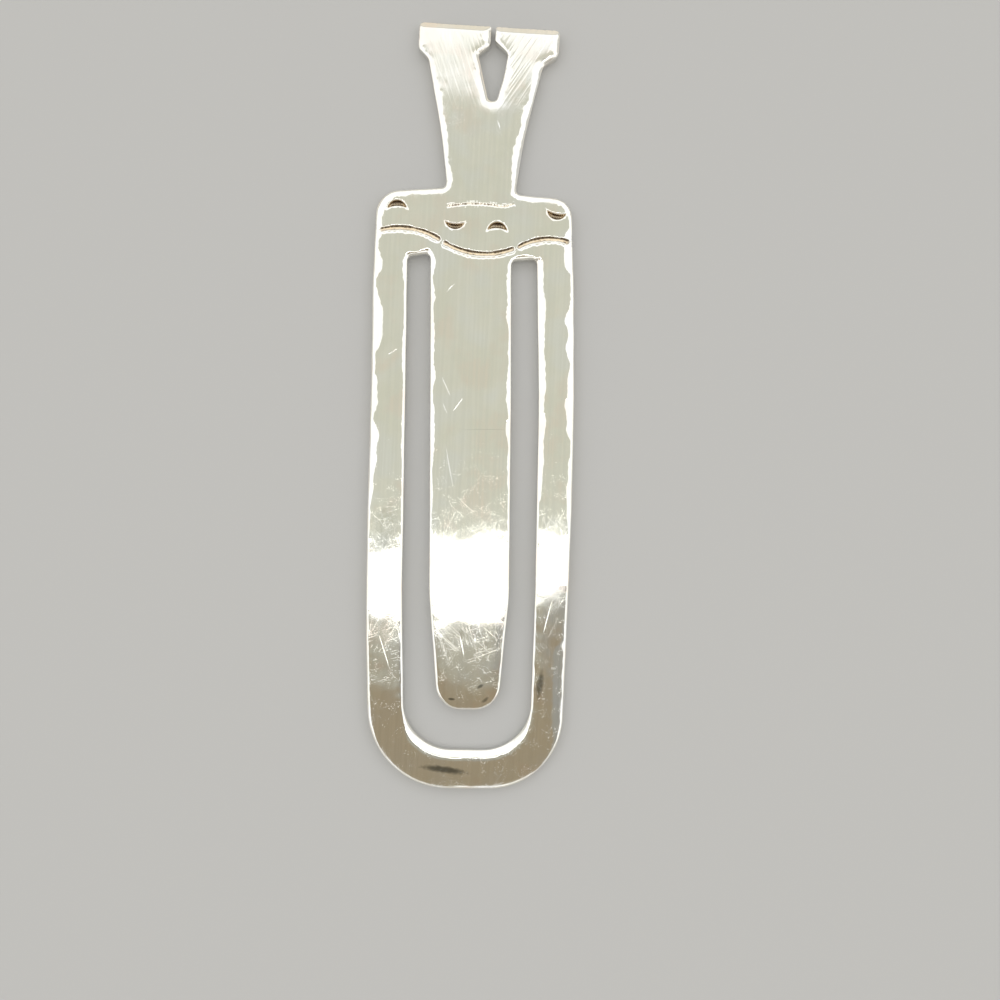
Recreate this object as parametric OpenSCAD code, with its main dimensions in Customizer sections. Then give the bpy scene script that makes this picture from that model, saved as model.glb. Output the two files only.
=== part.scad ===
// Money clip sawn from one flat sheet of silver: a forked finial, a chased shoulder plate,
// a spring tongue and the loop that surrounds it.
// Millimetres. The clip lies on its back: +Z is out of the front face, +Y runs to the finial,
// and the origin is under the middle of the whole clip, on the back face.

/* [Sheet] */
// Thickness of the sheet
sheet_t = 1.2; // [0.8:0.1:1.8]

/* [Overall] */
// Length from the end of the bow to the top of the finial
clip_l = 64; // [52:1:78]
// Width across the two limbs of the loop
clip_w = 17; // [14:0.5:21]

/* [Loop] */
// Width of each limb
limb_w = 2.95; // [2.4:0.05:3.6]
// Width of the bow at its middle
bow_w = 3.15; // [2.4:0.05:4]
// Straight stretch at the middle of the bow, between its two round corners
bow_flat = 2.6; // [0.6:0.1:4]
// Width of the slot between a limb and the tongue
slot_w = 2.15; // [1.7:0.05:2.6]
// Corner radius of the slots' closed ends
slot_r = 0.4; // [0.2:0.05:0.7]

/* [Tongue] */
// Gap between the tongue's tip and the bow
tip_gap = 3.45; // [2:0.05:6]
// Radius of the tongue tip's two round corners
tip_r = 2.1; // [0.8:0.1:2.4]
// How much narrower the tongue is on each side at its tip than at its root
tip_taper = 0.9; // [0.2:0.05:1.1]

/* [Shoulder plate] */
// Height of the plate between the slots' ends and the shoulders
plate_l = 5.5; // [4.5:0.1:8]
// Radius of the shoulders' outer corners
shoulder_r = 2; // [1:0.1:2.4]
// How far each shoulder falls from the neck to its outer corner
shoulder_fall = 0.4; // [0:0.05:0.6]
// How much lower the right shoulder is than the left, as the hand saw left it
shoulder_skew = 0.5; // [0:0.05:0.6]

/* [Finial] */
// Height of the finial over the shoulders
finial_l = 14; // [12:0.25:18]
// Width across the finial's serifs
head_w = 11.75; // [10.5:0.25:13]
// Height of the serifs
serif_h = 2.2; // [1.6:0.1:2.6]
// Width of the neck
neck_w = 5.85; // [5:0.05:6.5]
// How far the neck stands to the right of the clip's middle
neck_x = 0.58; // [0:0.02:0.8]
// Lean of the finial to the right, in degrees
finial_lean = 2.9; // [0:0.1:4]
// Width of the slit between the serifs
slit_w = 0.38; // [0.3:0.02:0.6]
// Widest width of the notch between the prongs
notch_w = 2.5; // [1.8:0.1:2.8]
// Height of the notch's bottom over the shoulders
notch_y = 7.4; // [6:0.1:8.5]

/* [Chasing] */
// Width of the chased arcs
arc_w = 0.45; // [0.3:0.05:0.6]
// Depth of the chased arcs
arc_d = 0.2; // [0.1:0.05:0.3]
// Width of the fine line across the foot of the neck
line_w = 0.28; // [0.2:0.02:0.4]
// Depth of the fine line
line_d = 0.1; // [0.05:0.01:0.15]
// Length of a punched crescent from horn to horn
crescent_l = 1.65; // [1.2:0.05:2]
// Height of a crescent's back over its horns
crescent_rise = 0.7; // [0.5:0.05:0.8]
// Depth of the punched crescents
crescent_d = 0.35; // [0.2:0.05:0.5]

/* [Spring] */
// Where the tongue and the loop bend, as a share of their free length from the root
bend_share = 0.15; // [0.1:0.01:0.2]
// Clearance around the round root of a bending member
bend_gap = 0.02; // [0.01:0.01:0.05]

/* [Hidden] */
$fn = 96;

ARC_STEP = 3; // degrees of a rounded corner between two outline points
BIG = 4 * clip_l;

top_y = clip_l / 2;
bow_y = -clip_l / 2;
half_w = clip_w / 2;
bow_r = half_w - bow_flat / 2;
// The leaning finial stands highest at its left corner
lean_rise = head_w / 2 * sin(finial_lean);
shoulder_y = top_y - finial_l;
slot_y = shoulder_y - plate_l;
neck_l = finial_l - lean_rise;

slot_x = half_w - limb_w - slot_w / 2; // middle of each slot
tongue_half = half_w - limb_w - slot_w;
tongue_x = -0.2; // the tongue stands a little left of the middle at its root
tip_y = bow_y + bow_w + tip_gap;
tongue_l = slot_y - tip_y;
loop_l = slot_y - bow_y;
tongue_bend_y = slot_y - bend_share * tongue_l;
loop_bend_y = slot_y - bend_share * loop_l;
neck_cut_y = shoulder_y + 0.7; // where the finial's straight neck leaves the plate's fillets
NECK_RISE = 0.5; // height over the shoulders at which the finial's own outline begins

// ---- Outline helpers: a corner is [x, y, fillet radius] ----

function flat2(v) = [v[0], v[1]];
function unit2(v) = v / norm(v);

// Points of the arc that rounds corner b between its neighbours a and c
function corner_arc(a, b, c, r) =
    let (
        u = unit2(a - b),
        v = unit2(c - b),
        half = acos(max(-1, min(1, u * v))) / 2,
        limit = 0.49 * min(norm(a - b), norm(c - b)),
        reach = min(r / tan(half), limit),
        fillet = reach * tan(half),
        middle = b + unit2(u + v) * fillet / sin(half),
        p = b + u * reach - middle,
        q = b + v * reach - middle,
        sweep = 180 - 2 * half,
        turn = p[0] * q[1] - p[1] * q[0] > 0 ? 1 : -1,
        steps = max(1, ceil(sweep / ARC_STEP))
    )
    [for (i = [0 : steps]) middle + turned(p, turn * sweep * i / steps)];

function turned(p, angle) =
    [p[0] * cos(angle) - p[1] * sin(angle), p[0] * sin(angle) + p[1] * cos(angle)];

// A closed outline with every corner rounded by its own radius
function rounded(corners) =
    let (n = len(corners))
    [
        for (i = [0 : n - 1])
            let (
                a = flat2(corners[(i + n - 1) % n]),
                b = flat2(corners[i]),
                c = flat2(corners[(i + 1) % n]),
                r = corners[i][2],
                straight = abs(unit2(a - b) * unit2(c - b) + 1) < 1e-9
            )
            each (r == undef || r == 0 || straight ? [b] : corner_arc(a, b, c, r))
    ];

// ---- Outlines of the sheet ----

// Sides of the loop, from the slots' ends down. The saw wandered a little: the loop swells below
// its middle, and the right limb leans in towards the bow.
function loop_left() = [
    [-half_w + 0.11, slot_y - 3, 60],
    [-half_w + 0.12, 0.03 * clip_l, 60],
    [-half_w - 0.07, -0.14 * clip_l, 60],
    [-half_w - 0.07, -0.29 * clip_l, 30],
    [-half_w + 0.35, bow_y, bow_r]
];

function loop_right() = [
    [half_w - 0.75, bow_y, bow_r],
    [half_w - 0.33, -0.31 * clip_l, 40],
    [half_w - 0.01, -0.13 * clip_l, 60],
    [half_w + 0.07, 0, 60],
    [half_w - 0.06, slot_y - 3, 60]
];

// The finial's outline in its own upright frame, with the neck's middle on x = 0
function finial_corners() =
    let (
        neck = neck_w / 2,
        left = -head_w / 2 - 0.12,
        right = head_w / 2 - 0.12,
        top = neck_l,
        under = neck_l - serif_h,
        slit = 0.2,
        notch = slit + 0.1
    )
    [
        [neck, NECK_RISE],
        [neck + 0.4, 0.33 * neck_l, 25],
        [neck + 1.6, under - 0.85, 0.8],
        [right, under + 0.05, 0.6],
        [right, top, 0.45],
        [slit + slit_w / 2, top, 0.15],
        [slit + slit_w / 2, under + 0.95, 0.15],
        [notch + notch_w / 2, under - 0.05, 0.5],
        [notch + notch_w / 2 - 0.25, notch_y + 2.1, 12],
        [notch + 0.52, notch_y, 0.4],
        [notch - 0.18, notch_y, 0.4],
        [notch - notch_w / 2 + 0.5, notch_y + 2.1, 12],
        [notch - notch_w / 2, under - 0.25, 0.35],
        [slit - slit_w / 2, under + 0.6, 0.4],
        [slit - slit_w / 2, top, 0.15],
        [left, top, 0.45],
        [left, under - 0.02, 0.6],
        [-neck - 2.15, under - 0.85, 0.8],
        [-neck - 0.68, 0.33 * neck_l, 25],
        [-neck, NECK_RISE]
    ];

// The same corners leaning on the clip
function leaning_finial() = [
    for (c = finial_corners())
        let (p = turned(flat2(c), -finial_lean))
        [neck_x + p[0], shoulder_y + p[1], c[2]]
];

module outer_outline() {
    plate_half = half_w - 0.4;
    left_y = shoulder_y + 0.1;
    right_y = left_y - shoulder_skew;
    neck_left = neck_x - neck_w / 2;
    neck_right = neck_x + neck_w / 2;
    polygon(rounded(concat(
        [[-plate_half, left_y - shoulder_fall, shoulder_r]],
        loop_left(),
        loop_right(),
        [[plate_half + 0.02, right_y - shoulder_fall, shoulder_r * 0.8]],
        [[neck_right - 0.02, right_y, 0.9]],
        leaning_finial(),
        [[neck_left - 0.05, left_y, 0.5]]
    )));
}

// The U-shaped opening between the loop and the tongue
module slot_outline() {
    limb_left = -half_w + limb_w;
    limb_right = half_w - limb_w;
    root_left = tongue_x - tongue_half;
    root_right = tongue_x + tongue_half;
    tip_half = tongue_half - tip_taper;
    bow_in = bow_y + bow_w;
    low_y = -0.25 * clip_l; // where the tongue starts to taper
    polygon(rounded([
        [limb_left + 0.04, slot_y - 0.15, slot_r],
        [limb_left + 0.01, 0, 60],
        [limb_left - 0.05, low_y, 40],
        [limb_left + 0.25, bow_in, bow_r - bow_w],
        [limb_right - 0.35, bow_in, bow_r - bow_w],
        [limb_right - 0.04, low_y, 40],
        [limb_right + 0.07, 0, 60],
        [limb_right - 0.23, slot_y - 0.25, slot_r],
        [root_right - 0.03, slot_y - 0.4, slot_r],
        [root_right + 0.1, 0, 60],
        [root_right + 0.14, low_y, 15],
        [tip_half, tip_y, tip_r],
        [-tip_half, tip_y, tip_r],
        [root_left + 0.28, low_y, 15],
        [root_left + 0.15, 0, 60],
        [root_left + 0.02, slot_y + 0.15, slot_r]
    ]));
}

module sheet_outline() {
    difference() {
        outer_outline();
        slot_outline();
    }
}

module sheet() {
    linear_extrude(height = sheet_t) sheet_outline();
}

// Everything above or below a line across the clip, as a block to cut with
module above(y) {
    translate([-BIG / 2, y, -BIG / 2]) cube([BIG, BIG, BIG]);
}

module below(y) {
    translate([-BIG / 2, y - BIG, -BIG / 2]) cube([BIG, BIG, BIG]);
}

// Round bar on a bending line, across the whole clip at mid-thickness
module bend_bar(y, r) {
    translate([-clip_w, y, sheet_t / 2]) rotate([0, 90, 0]) cylinder(h = 2 * clip_w, r = r);
}

// The strip of the sheet that holds the tongue, between the middles of the slots
module tongue_strip() {
    low_y = tip_y - tip_gap / 5;
    translate([-slot_x, low_y, -BIG / 2]) cube([2 * slot_x, BIG, BIG]);
}

// The sheet below a bending line, with a round root that stands in the line
module bending_sheet(y) {
    intersection() {
        sheet();
        union() {
            below(y);
            bend_bar(y, sheet_t / 2);
        }
    }
}

// ---- Chased and punched marks ----

// Groove along a shallow arc from a to b that bows by rise, over the line for a positive rise
module chased_arc(a, b, rise, width, depth) {
    chord = norm(b - a);
    radius = (chord * chord / 4 + rise * rise) / (2 * abs(rise));
    side = sign(rise);
    along = (b - a) / chord;
    up = [-along[1], along[0]];
    middle = (a + b) / 2 + up * (rise - side * radius);
    tool_r = (width * width / 4 + depth * depth) / (2 * depth);
    half_sweep = asin(chord / 2 / radius);
    facing = atan2(up[1] * side, up[0] * side);
    translate([middle[0], middle[1], sheet_t - depth + tool_r])
        rotate([0, 0, facing - half_sweep])
            rotate_extrude(angle = 2 * half_sweep)
                translate([radius, 0]) circle(r = tool_r);
}

// Radius of an arc over a chord of the given half length that rises by the given height
function rise_r(half_chord, rise) = (half_chord * half_chord + rise * rise) / (2 * rise);

// Crescent with its horns level at the given place: its back is up for side 1, down for side -1
module crescent(at, side, tilt) {
    horn = crescent_l / 2;
    back_r = rise_r(horn, crescent_rise);
    belly_r = rise_r(horn, crescent_rise * 0.27);
    translate([at[0], at[1], sheet_t - crescent_d])
        rotate([0, 0, tilt + (side > 0 ? 0 : 180)])
            difference() {
                translate([0, crescent_rise - back_r, 0])
                    cylinder(h = 2 * crescent_d, r = back_r);
                translate([0, crescent_rise * 0.27 - belly_r, -crescent_d])
                    cylinder(h = 4 * crescent_d, r = belly_r);
            }
}

// A place on the plate: x as a share of the ornament's half width, y of the plate's height
function on_plate(x, y) = [x * (half_w - 0.65), slot_y + y * plate_l];

// Three arcs over the slots, a fine line across the foot of the neck and four crescents
module ornament() {
    chased_arc(on_plate(-1, 0.35), on_plate(-0.363, 0.21), 0.52, arc_w, arc_d);
    chased_arc(on_plate(-0.32, 0.17), on_plate(0.433, 0.085), -0.7, arc_w, arc_d);
    chased_arc(on_plate(0.478, 0.11), on_plate(1.01, 0.195), 0.45, arc_w, arc_d);
    chased_arc(on_plate(-0.28, 0.718), on_plate(0.235, 0.745), 0.18, line_w, line_d);
    chased_arc(on_plate(0.235, 0.745), on_plate(0.427, 0.773), -0.12, line_w, line_d);
    crescent(on_plate(-0.819, 0.696), 1, 2);
    crescent(on_plate(-0.201, 0.5), -1, -3);
    crescent(on_plate(0.251, 0.376), 1, -2);
    crescent(on_plate(0.882, 0.672), -1, -10);
}

// ---- Nodes ----

module finial() {
    color("gainsboro") intersection() {
        sheet();
        above(neck_cut_y);
    }
}

// The plate with the short roots of the tongue and the limbs, which end in round seats
module shoulder_plate() {
    color("silver") difference() {
        intersection() {
            sheet();
            below(neck_cut_y);
            above(loop_bend_y);
        }
        intersection() {
            tongue_strip();
            union() {
                below(tongue_bend_y);
                bend_bar(tongue_bend_y, sheet_t / 2 + bend_gap);
            }
        }
        difference() {
            bend_bar(loop_bend_y, sheet_t / 2 + bend_gap);
            tongue_strip();
        }
        ornament();
    }
}

module tongue() {
    color("lightgray") intersection() {
        bending_sheet(tongue_bend_y);
        tongue_strip();
    }
}

module loop() {
    color("darkgray") difference() {
        bending_sheet(loop_bend_y);
        tongue_strip();
    }
}

finial();
shoulder_plate();
tongue();
loop();
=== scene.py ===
"""Looks for the flat silver money clip.

The sheet's outline comes from the CAD nodes. One fine mesh of the whole sheet is made from it, with filed
round edges, a slightly uneven polished face, chased arcs and punched crescents. It is then cut at the neck
and across the roots of the tongue and the limbs into one piece for each CAD node.
Mesh work is in millimetres, and objects are in metres.
"""

import math
from collections import namedtuple

import bpy
import numpy as np
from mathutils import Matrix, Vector
from mathutils.geometry import delaunay_2d_cdt
from mathutils.kdtree import KDTree


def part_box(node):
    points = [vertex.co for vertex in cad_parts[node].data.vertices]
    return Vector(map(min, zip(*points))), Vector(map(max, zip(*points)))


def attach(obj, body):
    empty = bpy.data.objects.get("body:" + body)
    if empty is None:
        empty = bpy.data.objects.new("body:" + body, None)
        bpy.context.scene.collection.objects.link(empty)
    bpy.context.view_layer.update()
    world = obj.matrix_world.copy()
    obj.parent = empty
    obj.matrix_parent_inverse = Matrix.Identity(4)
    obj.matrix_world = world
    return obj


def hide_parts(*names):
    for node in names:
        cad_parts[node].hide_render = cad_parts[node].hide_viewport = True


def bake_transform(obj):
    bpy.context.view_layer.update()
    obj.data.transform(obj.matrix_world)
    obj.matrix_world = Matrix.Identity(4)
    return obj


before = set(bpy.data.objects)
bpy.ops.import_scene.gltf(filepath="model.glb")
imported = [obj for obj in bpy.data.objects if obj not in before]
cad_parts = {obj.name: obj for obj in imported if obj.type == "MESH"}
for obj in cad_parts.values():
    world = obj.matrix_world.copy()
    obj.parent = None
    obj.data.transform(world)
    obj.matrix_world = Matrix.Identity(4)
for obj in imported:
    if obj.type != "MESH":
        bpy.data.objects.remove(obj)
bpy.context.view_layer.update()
MM = 0.001

# ---------------------------------------------------------------- sizes from the frame, in millimetres

NODES = ("finial", "shoulder_plate", "tongue", "loop")
LIMB_W = 2.95
LIMB_BULGE = 0.07
PLATE_L = 5.5
NECK_CUT_OVER_SHOULDERS = 0.7
SEAM_UNDER_SLOTS = 1.6
BOX = {node: [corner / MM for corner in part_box(node)] for node in NODES}
SHEET_T = BOX["loop"][1].z
NECK_CUT_Y = BOX["finial"][0].y
TOP_Y = BOX["finial"][1].y
HALF_W = BOX["loop"][1].x - LIMB_BULGE
SLOT_Y = NECK_CUT_Y - NECK_CUT_OVER_SHOULDERS - PLATE_L
SLOT_X = (BOX["tongue"][1].x + BOX["loop"][1].x - LIMB_W) / 2
SEAM_Y = SLOT_Y - SEAM_UNDER_SLOTS
TIP_Y = BOX["tongue"][0].y
OUTLINE_CUTS_OVER_Y = (BOX["tongue"][0].y + BOX["tongue"][1].y) / 2

# ---------------------------------------------------------------- sizes of the finish, in millimetres

FINE_STEP = 0.04
SAW_WANDER = 0.006
# The filed edge from the outline inwards: a rounded corner, a bevel, its ease and a worn facet.
BEVEL_ANGLE = math.radians(29)
CORNER_R = 0.06
FACE_EASE_LOW, FACE_EASE_HIGH = 0.34, 0.5
BEVEL_W = 0.012
FLANK_BEVEL = 0.15
OUTER_BEVEL = 0.03
BOW_BEVEL = 0.4
FACET_SLOPE = math.tan(math.radians(11))
FACET_EASE = 0.12
FACET_MARGIN = 0.03
BEVEL_LEAST, EASE_LEAST, FACET_MOST = 0.008, 0.12, 0.62
# Where those sizes change along the outline.
OUTSIDE_X = 6.9
RIGHT_FLANK_SHARE = 0.6
RIGHT_SLOT_X = (3.9, 6.6)
RIGHT_SLOT_FACET_Y = -8
BOW_Y = -20
BOW_OUTER_Y = -22.5
# How far apart the columns of points that carry the edge stand, and how much it may turn between them.
COLUMN_STEP, COLUMN_TURN = 0.17, math.radians(6)
# The wide chamfer along the tops of the serifs.
CHAMFER_W, CHAMFER_SLOPE = 0.62, math.tan(math.radians(27))
CHAMFER_EASE = 0.16
CHAMFER_R = 0.04
CHAMFER_ROWS = (0.12, 0.24, 0.36, 0.44, 0.48, 0.52, 0.56, 0.59, 0.62, 0.66, 0.74)
CHAMFER_STEP = 0.12
SERIF_OVER_Y = TOP_Y - 1.4
BACK_R = 0.24
# Rings of points along the edge: by the slope of the corner and the ease, then by distance into the face.
CORNER_ANGLES = (68, 48)
EASE_ANGLES = (25, 20, 15.5, 10.5, 6, 0)
CROWN_RINGS = (0.1, 0.22, 0.36, 0.52)
CROWN_DROP = 0.02
CROWN_FADE = 0.3
# The unevenness of the face, and the spacing of its points and of the marks' points.
EDGE_RIPPLE, EDGE_RIPPLE_INSET, EDGE_RIPPLE_W = 0.002, 0.45, 0.22
FACE_SWELL, FACE_RIPPLE = 0.0022, 0.0006
FACE_STEP = 0.34
FACE_JITTER = 0.05
FACE_TO_MARKS, FACE_TO_CROWN = 0.12, 0.13
MARK_STEP = 0.05
CLEAR_OF_CUT = 0.03
# Widths, depths and tool steps of the chased and punched marks.
ARC_W, ARC_D = 0.47, 0.17
LINE_W, LINE_D = 0.3, 0.055
CRESCENT_D = 0.34
BEAD_STEP, FINE_BEAD_STEP = 0.41, 0.29
DOT_STEP = 0.27
RIB_STEP = 0.19

rng = np.random.default_rng(7)


def smoothstep(x):
    x = np.clip(x, 0, 1)
    return x * x * (3 - 2 * x)


def wave_field(seed, waves, shortest, longest):
    """A smooth random field of the plane, about -1 to 1, as a sum of plane waves."""
    r = np.random.default_rng(seed)
    length = np.exp(r.uniform(math.log(shortest), math.log(longest), waves))
    way = r.uniform(0, 2 * math.pi, waves)
    phase = r.uniform(0, 2 * math.pi, waves)
    k = np.stack([np.cos(way), np.sin(way)]) * 2 * math.pi / length
    return lambda xy: np.sin(xy @ k + phase).sum(1) / math.sqrt(waves)


# ---------------------------------------------------------------- outline of the sheet


def back_face_edges(node):
    """Directed outline edges of a node's back face, with the metal on their left."""
    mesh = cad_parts[node].data
    count = {}
    for polygon in mesh.polygons:
        corners = [mesh.vertices[i].co / MM for i in polygon.vertices]
        if max(c.z for c in corners) < 1e-3:
            keys = [(round(c.x, 3), round(c.y, 3)) for c in corners]
            for a, b in zip(keys, keys[1:] + keys[:1]):
                count[(b, a)] = count.get((b, a), 0) + 1
    return [e for e in count if (e[1], e[0]) not in count and e[0] != e[1]]


def is_cut(a, b):
    """Is this edge one of the straight cuts between two members?"""
    return abs(a[1] - b[1]) < 1e-3 and a[1] > OUTLINE_CUTS_OVER_Y and abs(a[0] - b[0]) > 0.4


def sheet_loops():
    """The closed outlines of the whole sheet: the outer one and the slots'."""
    chains = []
    for node in NODES:
        after = {a: b for a, b in back_face_edges(node) if not is_cut(a, b)}
        starts = [a for a in after if a not in set(after.values())]
        for start in starts:
            chain = [start]
            while chain[-1] in after:
                chain.append(after.pop(chain[-1]))
            chains.append(chain)
        while after:
            chain = [next(iter(after))]
            while chain[-1] in after:
                chain.append(after.pop(chain[-1]))
            chains.append(chain[:-1])
    loops = []
    while chains:
        loop = chains.pop(0)
        while True:
            end = loop[-1]
            near = min(chains, key=lambda chain: math.dist(chain[0], end), default=loop)
            if math.dist(loop[0], end) + 1e-6 < math.dist(near[0], end) or near is loop:
                break
            chains.remove(near)
            loop = loop + near
        loops.append(np.array(loop))
    return loops


def resampled(loop):
    """The loop at an even fine step, with its corners eased as a file leaves them."""
    closed = np.vstack([loop, loop[:1]])
    along = np.concatenate([[0], np.cumsum(np.linalg.norm(np.diff(closed, axis=0), axis=1))])
    keep = np.concatenate([[True], np.diff(along) > 1e-6])
    n = int(along[-1] / FINE_STEP)
    at = np.linspace(0, along[-1], n, endpoint=False)
    points = np.stack([np.interp(at, along[keep], closed[keep, i]) for i in (0, 1)], 1)
    for _ in range(10):
        points = (np.roll(points, 1, 0) + 2 * points + np.roll(points, -1, 0)) / 4
    return points


def left_normals(points):
    d = np.roll(points, -1, 0) - np.roll(points, 1, 0)
    d /= np.linalg.norm(d, axis=1)[:, None]
    return np.stack([-d[:, 1], d[:, 0]], 1)


def hand_sawn(points, seed):
    """A few thousandths of a millimetre of wander, as a piercing saw and a file leave."""
    wander = wave_field(seed, 14, 2.2, 7)
    return points + left_normals(points) * (SAW_WANDER * wander(points))[:, None]


Column = namedtuple("Column", "point normal sizes cut")


def worn(xy):
    """How softly worn the edges are, 0 at the bow to 1 at the plate and the finial."""
    return smoothstep((xy[:, 1] + 13) / 12)


def edge_sizes(points):
    """Rows of the filed bevel's width, the radius of its ease into the face and the width of the worn facet
    inside it, all along an outline."""
    normals = left_normals(points)
    x, y = points.T
    slow, quick = wave_field(91, 12, 1.5, 5), wave_field(92, 20, 0.4, 2.2)
    blobs, specks = wave_field(93, 14, 1.8, 6.5), wave_field(94, 24, 0.3, 0.8)
    in_right_slot = (x > RIGHT_SLOT_X[0]) & (x < RIGHT_SLOT_X[1]) & (y > RIGHT_SLOT_FACET_Y) & (y < SLOT_Y)
    inner_right = smoothstep((normals[:, 0] - 0.6) / 0.3) * in_right_slot
    flank = np.clip(-normals[:, 0], 0, 1) * (y > NECK_CUT_Y - 1)
    bow_inner = smoothstep((BOW_Y - y) / 4) * smoothstep((-normals[:, 1] - 0.2) / 0.6)
    bow_outer = smoothstep((BOW_OUTER_Y - y) / 4) * smoothstep((normals[:, 1] - 0.1) / 0.6)
    on_outside = (np.abs(x) > OUTSIDE_X) * np.where(x < 0, 1, RIGHT_FLANK_SHARE)
    outer_flank = smoothstep((np.abs(normals[:, 0]) - 0.6) / 0.3) * on_outside
    soft = worn(points)
    bevel = (BEVEL_W + FLANK_BEVEL * flank + OUTER_BEVEL * outer_flank) * (1 + 0.25 * slow(points))
    bevel = bevel + BOW_BEVEL * bow_inner
    ease = FACE_EASE_LOW + (FACE_EASE_HIGH - FACE_EASE_LOW) * soft
    ease = ease * (1 + 0.1 * quick(points) + 0.1 * slow(points)) * (1 - 0.6 * bow_outer)
    outside = smoothstep((np.abs(x) - OUTSIDE_X) / 0.6)
    mean = 0.04 + 0.2 * outside + 0.4 * inner_right + 0.1 * (y > SLOT_Y)
    spread = 0.14 + 0.3 * outside
    facet = (mean + spread * blobs(points) + 0.04 * specks(points)) * soft
    bevel = np.clip(bevel, BEVEL_LEAST, None)
    ease = np.clip(ease, EASE_LEAST, None)
    return np.stack([bevel, ease, np.clip(facet, 0, FACET_MOST)], 1)


def columns(points, cuts):
    """The outline points that carry the edge's rings: close together where the outline turns. A column on a
    cut line stands exactly on it."""
    n = len(points)
    on_cut = {}
    for cut in cuts:
        over = points[:, 1] - cut
        for i in np.nonzero(over * np.roll(over, -1) < 0)[0]:
            j = (i + 1) % n
            share = over[i] / (over[i] - over[j])
            points[i] = points[i] + share * (points[j] - points[i])
            on_cut[int(i)] = cut
    normals = left_normals(points)
    heading = np.unwrap(np.arctan2(normals[:, 1], normals[:, 0]))
    sizes = edge_sizes(points)
    chosen, last = [], None
    for i in range(n):
        turned = last is not None and abs(heading[i] - heading[last]) > COLUMN_TURN
        far = last is None or (i - last) * FINE_STEP > COLUMN_STEP
        near_cut = any(abs(points[i, 1] - c) < 0.05 for c in cuts) and i not in on_cut
        if i in on_cut or ((turned or far) and not near_cut):
            chosen.append(Column(points[i], normals[i], sizes[i], on_cut.get(i)))
            last = i
    return chosen, sizes


def edge_ends(bevel, ease):
    """Where the rounded corner, the bevel and its ease end, from the outline inwards."""
    corner = CORNER_R * (1 - math.sin(BEVEL_ANGLE))
    return corner, corner + bevel, corner + bevel + ease * math.sin(BEVEL_ANGLE)


def edge_drop(inset, sizes):
    """How far the filed edge lies under the flat face at this distance from the outline."""
    bevel, ease, facet = sizes.T
    corner, slope, end = edge_ends(bevel, ease)
    face_part = ease * (1 - math.cos(BEVEL_ANGLE))
    bevel_part = bevel * math.tan(BEVEL_ANGLE)
    whole = CORNER_R * math.cos(BEVEL_ANGLE) + bevel_part + face_part
    run = np.clip(end - inset, 0, ease * math.sin(BEVEL_ANGLE))
    on_ease = ease - np.sqrt(ease**2 - run**2)
    on_bevel = face_part + (slope - inset) * math.tan(BEVEL_ANGLE)
    on_corner = whole - np.sqrt(np.clip(CORNER_R**2 - (CORNER_R - inset) ** 2, 0, None))
    drop = np.where(inset < slope, on_bevel, on_ease)
    drop = np.where(inset < corner, on_corner, drop)
    into = np.clip(end + facet - inset, 0, None)
    into = np.where(into < FACET_EASE, into**2 / 2 / FACET_EASE, into - FACET_EASE / 2)
    return drop + FACET_SLOPE * np.minimum(into, facet + FACET_MARGIN)


def ring_insets(sizes):
    """Distances from the outline at which the edge has a ring of points."""
    bevel, ease, _ = sizes
    _, slope, end = edge_ends(bevel, ease)
    corner = [CORNER_R * (1 - math.sin(math.radians(a))) for a in CORNER_ANGLES]
    corner.append(CORNER_R * (1 - math.sin(BEVEL_ANGLE)))
    eased = [end - ease * math.sin(math.radians(a)) for a in EASE_ANGLES]
    return corner + [slope] + eased + [end + c for c in CROWN_RINGS]


def serif_top_line(loops):
    """The straight line over both serifs' tops as (slope, height at x = 0)."""
    tops = []
    for points in loops:
        up = (points[:, 1] > SERIF_OVER_Y) & (left_normals(points)[:, 1] < -0.97)
        tops.append(points[up])
    return np.polyfit(*np.vstack(tops).T, 1)


def below_top(line, xy):
    """Distance of each point under the serif tops' line."""
    return (line[0] * xy[:, 0] + line[1] - xy[:, 1]) / math.hypot(1, line[0])


def chamfer_drop(line, inset, xy):
    """The wide chamfer along the serif tops, with its own small round at the outline."""
    into = np.clip(CHAMFER_W - below_top(line, xy), 0, None)
    into = np.where(into < CHAMFER_EASE, into**2 / 2 / CHAMFER_EASE, into - CHAMFER_EASE / 2)
    run = np.clip(CHAMFER_R - inset, 0, None)
    return into * CHAMFER_SLOPE + (CHAMFER_R - np.sqrt(CHAMFER_R**2 - run**2)) * (into > 0)


def chamfer_points(line):
    """Rows of points along the serif tops' chamfer and its crease."""
    x = np.arange(BOX["finial"][0].x, BOX["finial"][1].x, CHAMFER_STEP)
    crest, stretch = line[0] * x + line[1], math.hypot(1, line[0])
    return np.vstack([np.stack([x, crest - row * stretch], 1) for row in CHAMFER_ROWS])


# ---------------------------------------------------------------- chased and punched marks

Arc = namedtuple("Arc", "centre radius side start end width depth phase")
Crescent = namedtuple("Crescent", "at side tilt half rise depth")


def on_plate(x, y):
    """A place on the plate: x as a share of the ornament's half width, y of the plate's height."""
    return np.array([x * (HALF_W - 0.65), SLOT_Y + y * PLATE_L])


def arc_between(a, b, rise, width, depth, phase):
    chord = np.linalg.norm(b - a)
    radius = (chord * chord / 4 + rise * rise) / (2 * abs(rise))
    side = math.copysign(1, rise)
    along = (b - a) / chord
    up = np.array([-along[1], along[0]])
    centre = (a + b) / 2 + up * (rise - side * radius)
    half = math.asin(chord / 2 / radius)
    facing = math.atan2(up[1] * side, up[0] * side)
    return Arc(centre, radius, side, facing - half, facing + half, width, depth, phase)


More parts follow.
